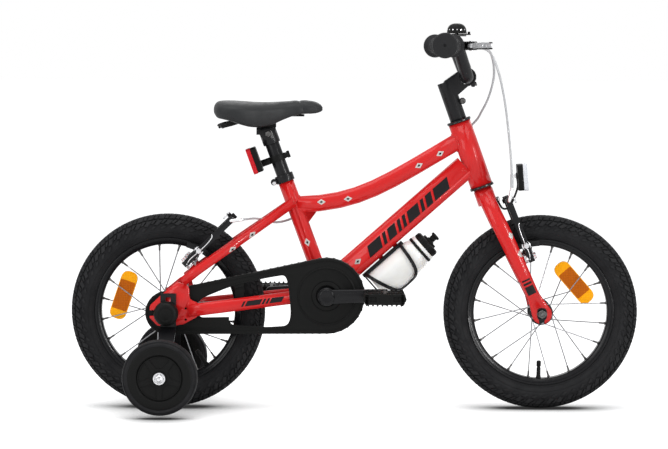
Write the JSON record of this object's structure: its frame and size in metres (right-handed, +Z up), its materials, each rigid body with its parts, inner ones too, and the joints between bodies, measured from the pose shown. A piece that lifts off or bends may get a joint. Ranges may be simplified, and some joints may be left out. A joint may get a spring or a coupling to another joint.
{
  "type": "kids bike",
  "caption": "Child's bicycle with stabilisers, sloping frame, spoked wheels, chain drive with guard, rim brakes, padded saddle and a bottle in its cage.",
  "frame": {"origin": "on the ground, midway between the two axles, in the centre plane", "axes": "+X forward, +Y to the rider's left, +Z up; the chain is on the -Y side"},
  "size_m": [1.022, 0.546, 0.6932],
  "materials": {
    "red_paint": "gloss",
    "black_paint": "satin",
    "black_plastic": "satin",
    "grip_rubber": "matte",
    "tyre_rubber": "matte",
    "steel": "satin",
    "alloy": "satin",
    "spokes": "satin",
    "housing": "satin",
    "amber": "gloss",
    "clear_lens": "gloss",
    "red_lens": "gloss",
    "milky_plastic": "satin",
    "saddle_cover": "matte"
  },
  "bodies": {
    "frame": {"main_frame": "red_paint", "headset_top_cup": "black_paint", "headset_bottom_cup": "black_paint", "bottom_bracket": "steel", "seat_clamp": "alloy", "chain_guard": "black_plastic", "chain": "steel", "rear_axle": "steel", "axle_nut_cap_right": "black_plastic", "axle_nut_cap_left": "black_plastic", "stabiliser_bracket_right": "black_paint", "stabiliser_bracket_left": "black_paint", "bottle_cage": "alloy", "rear_brake_cable": "housing"},
    "seat": {"seat_post": "black_paint", "saddle": "saddle_cover", "saddle_pan": "black_plastic", "saddle_clamp": "black_paint", "rear_reflector": "red_lens", "rear_reflector_bracket": "black_plastic"},
    "steering": {"fork": "red_paint", "stem": "alloy", "stem_faceplate": "alloy", "handlebar": "black_paint", "grip_right": "grip_rubber", "grip_left": "grip_rubber", "lever_clamp_right": "black_plastic", "lever_clamp_left": "black_plastic", "bell_base": "black_plastic", "bell_dome": "black_paint", "front_axle": "steel", "front_reflector": "clear_lens", "front_reflector_bracket": "steel", "front_brake_cable": "housing"},
    "right_lever": {"brake_lever_right": "alloy"},
    "left_lever": {"brake_lever_left": "alloy"},
    "bell_lever": {"bell_thumb_lever": "black_plastic"},
    "front_arm_right": {"front_brake_arm_right": "alloy"},
    "front_arm_left": {"front_brake_arm_left": "alloy"},
    "rear_arm_right": {"rear_brake_arm_right": "alloy"},
    "rear_arm_left": {"rear_brake_arm_left": "alloy"},
    "front_wheel": {"front_tyre": "tyre_rubber", "front_rim": "alloy", "front_hub": "spokes", "front_spoke_reflector": "amber"},
    "rear_wheel": {"rear_tyre": "tyre_rubber", "rear_rim": "alloy", "rear_hub": "spokes", "rear_spoke_reflector": "amber"},
    "rear_cog": {"rear_sprocket": "steel"},
    "crankset": {"chainring": "black_paint", "crank_arm_right": "black_paint", "crank_arm_left": "black_paint", "bottom_bracket_axle": "steel"},
    "right_pedal": {"pedal_right": "black_plastic"},
    "left_pedal": {"pedal_left": "black_plastic"},
    "right_stabiliser": {"stabiliser_wheel_right": "black_plastic"},
    "left_stabiliser": {"stabiliser_wheel_left": "black_plastic"},
    "bottle": {"water_bottle": "milky_plastic"},
    "nozzle": {"bottle_nozzle": "black_plastic"}
  },
  "joints": [
    {"name": "steering_turn", "type": "hinge", "parent": "frame", "child": "steering", "pos_m": [0.2281, 0, 0.4032], "axis": [-0.3371, 0, 0.9415], "range_deg": [-65, 65], "deforming": ["rear_brake_cable"]},
    {"name": "front_wheel_spin", "type": "hinge", "parent": "steering", "child": "front_wheel", "pos_m": [0.3357, 0, 0.17533], "axis": [0, 1, 0], "continuous": true},
    {"name": "rear_wheel_spin", "type": "hinge", "parent": "frame", "child": "rear_wheel", "pos_m": [-0.3357, 0, 0.17533], "axis": [0, 1, 0], "continuous": true},
    {"name": "crank_turn", "type": "hinge", "parent": "frame", "child": "crankset", "pos_m": [-0.0495, 0, 0.2063], "axis": [0, 1, 0], "continuous": true, "deforming": ["chain"]},
    {"name": "sprocket_spin", "type": "hinge", "parent": "frame", "child": "rear_cog", "pos_m": [-0.3357, 0, 0.17533], "axis": [0, 1, 0], "continuous": true},
    {"name": "right_pedal_spin", "type": "hinge", "parent": "crankset", "child": "right_pedal", "pos_m": [0.05294, -0.12, 0.20988], "axis": [0, 1, 0], "continuous": true},
    {"name": "left_pedal_spin", "type": "hinge", "parent": "crankset", "child": "left_pedal", "pos_m": [-0.15194, 0.12, 0.20272], "axis": [0, 1, 0], "continuous": true},
    {"name": "right_stabiliser_spin", "type": "hinge", "parent": "frame", "child": "right_stabiliser", "pos_m": [-0.3402, -0.17, 0.0725], "axis": [0, 1, 0], "continuous": true},
    {"name": "left_stabiliser_spin", "type": "hinge", "parent": "frame", "child": "left_stabiliser", "pos_m": [-0.3402, 0.17, 0.0725], "axis": [0, 1, 0], "continuous": true},
    {"name": "right_brake_lever_pull", "type": "hinge", "parent": "steering", "child": "right_lever", "pos_m": [0.20236, -0.13154, 0.65383], "axis": [0, 0, -1], "range_deg": [0, 20], "stiffness_Nm_per_rad": 0.6, "springref_deg": -8.59},
    {"name": "left_brake_lever_pull", "type": "hinge", "parent": "steering", "child": "left_lever", "pos_m": [0.20236, 0.13154, 0.65383], "axis": [0, 0, 1], "range_deg": [0, 20], "stiffness_Nm_per_rad": 0.6, "springref_deg": -8.59},
    {"name": "bell_lever_push", "type": "hinge", "parent": "steering", "child": "bell_lever", "pos_m": [0.17799, -0.1, 0.67383], "axis": [0, 0, 1], "range_deg": [0, 40], "stiffness_Nm_per_rad": 0.02, "springref_deg": -11.46},
    {"name": "front_brake_arm_right_swing", "type": "hinge", "parent": "steering", "child": "front_arm_right", "pos_m": [0.315, -0.042, 0.277], "axis": [-0.929, 0, -0.37], "range_deg": [0, 4], "deforming": ["front_brake_cable"]},
    {"name": "front_brake_arm_left_swing", "type": "hinge", "parent": "steering", "child": "front_arm_left", "pos_m": [0.315, 0.042, 0.277], "axis": [0.929, 0, 0.37], "range_deg": [0, 4]},
    {"name": "rear_brake_arm_right_swing", "type": "hinge", "parent": "frame", "child": "rear_arm_right", "pos_m": [-0.2989, -0.054, 0.2669], "axis": [-0.6914, 0, 0.7225], "range_deg": [0, 4], "deforming": ["rear_brake_cable"]},
    {"name": "rear_brake_arm_left_swing", "type": "hinge", "parent": "frame", "child": "rear_arm_left", "pos_m": [-0.2989, 0.054, 0.2669], "axis": [0.6914, 0, -0.7225], "range_deg": [0, 4]},
    {"name": "seat_height", "type": "slide", "parent": "frame", "child": "seat", "axis": [-0.3453, 0, 0.9385], "range_m": [-0.018, 0.06]},
    {"name": "bottle_pull", "type": "slide", "parent": "frame", "child": "bottle", "axis": [0.749, 0, 0.6626], "range_m": [0, 0.06]},
    {"name": "nozzle_pull", "type": "slide", "parent": "bottle", "child": "nozzle", "axis": [0.749, 0, 0.6626], "range_m": [0, 0.006]}
  ],
  "couplings": [
    {"joint": "sprocket_spin", "follows": "crank_turn", "ratio": 1.8824},
    {"joint": "front_brake_arm_right_swing", "follows": "left_brake_lever_pull", "ratio": 0.2},
    {"joint": "front_brake_arm_left_swing", "follows": "left_brake_lever_pull", "ratio": 0.2},
    {"joint": "rear_brake_arm_right_swing", "follows": "right_brake_lever_pull", "ratio": 0.2},
    {"joint": "rear_brake_arm_left_swing", "follows": "right_brake_lever_pull", "ratio": 0.2}
  ]
}
